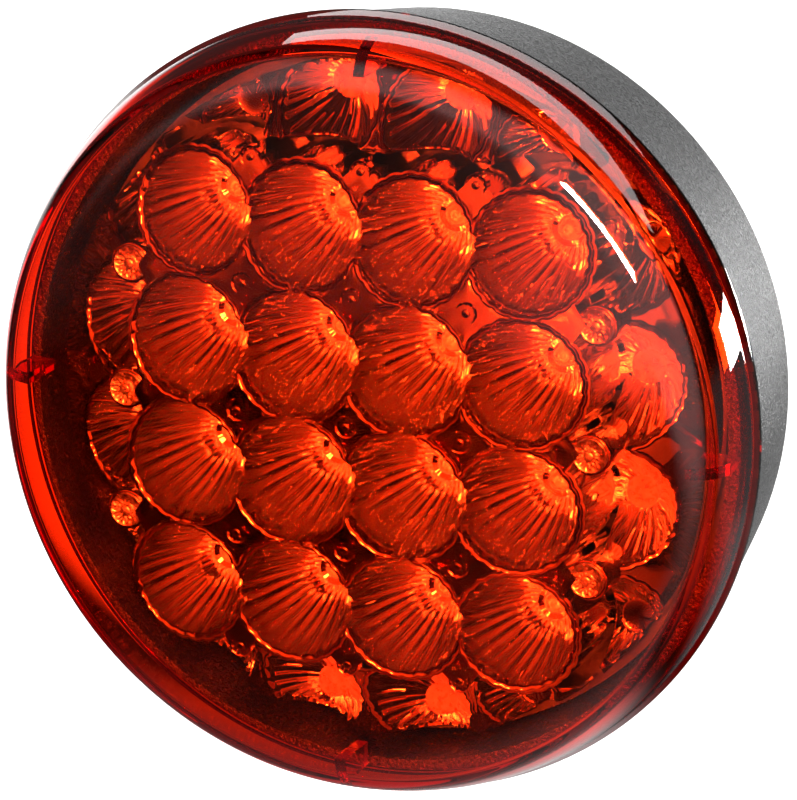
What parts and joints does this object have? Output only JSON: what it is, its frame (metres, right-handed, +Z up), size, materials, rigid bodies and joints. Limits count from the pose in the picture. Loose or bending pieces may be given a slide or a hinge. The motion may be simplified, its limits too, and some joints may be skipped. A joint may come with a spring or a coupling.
{
  "type": "trailer tail light",
  "caption": "Round LED tail light: red domed lens over a fluted metallised reflector in a tapered black housing, fixed by two studs at its back.",
  "frame": {"origin": "centre of the flat back face of the housing, which lies on the vehicle", "axes": "+Y out of the back of the lamp, into the vehicle; the lens faces -Y; +Z up"},
  "size_m": [0.122, 0.065, 0.122],
  "materials": {
    "housing_plastic": "spark-eroded texture",
    "red_lens": "gloss",
    "black_rubber": "matte",
    "metallised_plastic": "polished",
    "zinc_plated_steel": "satin",
    "board_laminate": "satin",
    "led_epoxy": "gloss",
    "tinned_steel": "satin",
    "led_die": "satin",
    "component_body": "matte",
    "capacitor_can": "satin",
    "solder": "satin",
    "connector_plastic": "satin",
    "silicone_rubber": "satin",
    "terminal_brass": "satin",
    "vent_cloth": "matte"
  },
  "bodies": {
    "root": {"housing": "housing_plastic", "lens": "red_lens", "lens_seal": "black_rubber", "reflector": "metallised_plastic", "reflector_screws": "zinc_plated_steel", "reflector_pins": "metallised_plastic", "circuit_board": "board_laminate", "led_packages": "led_epoxy", "led_anode_frames": "tinned_steel", "led_cathode_frames": "tinned_steel", "led_dies": "led_die", "resistors": "component_body", "resistor_network": "component_body", "diodes": "component_body", "surge_suppressor": "component_body", "capacitors": "capacitor_can", "current_regulator": "component_body", "regulator_tab": "tinned_steel", "solder_joints": "solder", "connector_shroud": "connector_plastic", "connector_seal": "silicone_rubber", "terminal_pins": "terminal_brass", "mounting_studs": "zinc_plated_steel", "stud_washers": "zinc_plated_steel", "stud_seals": "black_rubber", "vent_membrane": "vent_cloth", "vent_cap": "connector_plastic"}
  },
  "joints": []
}
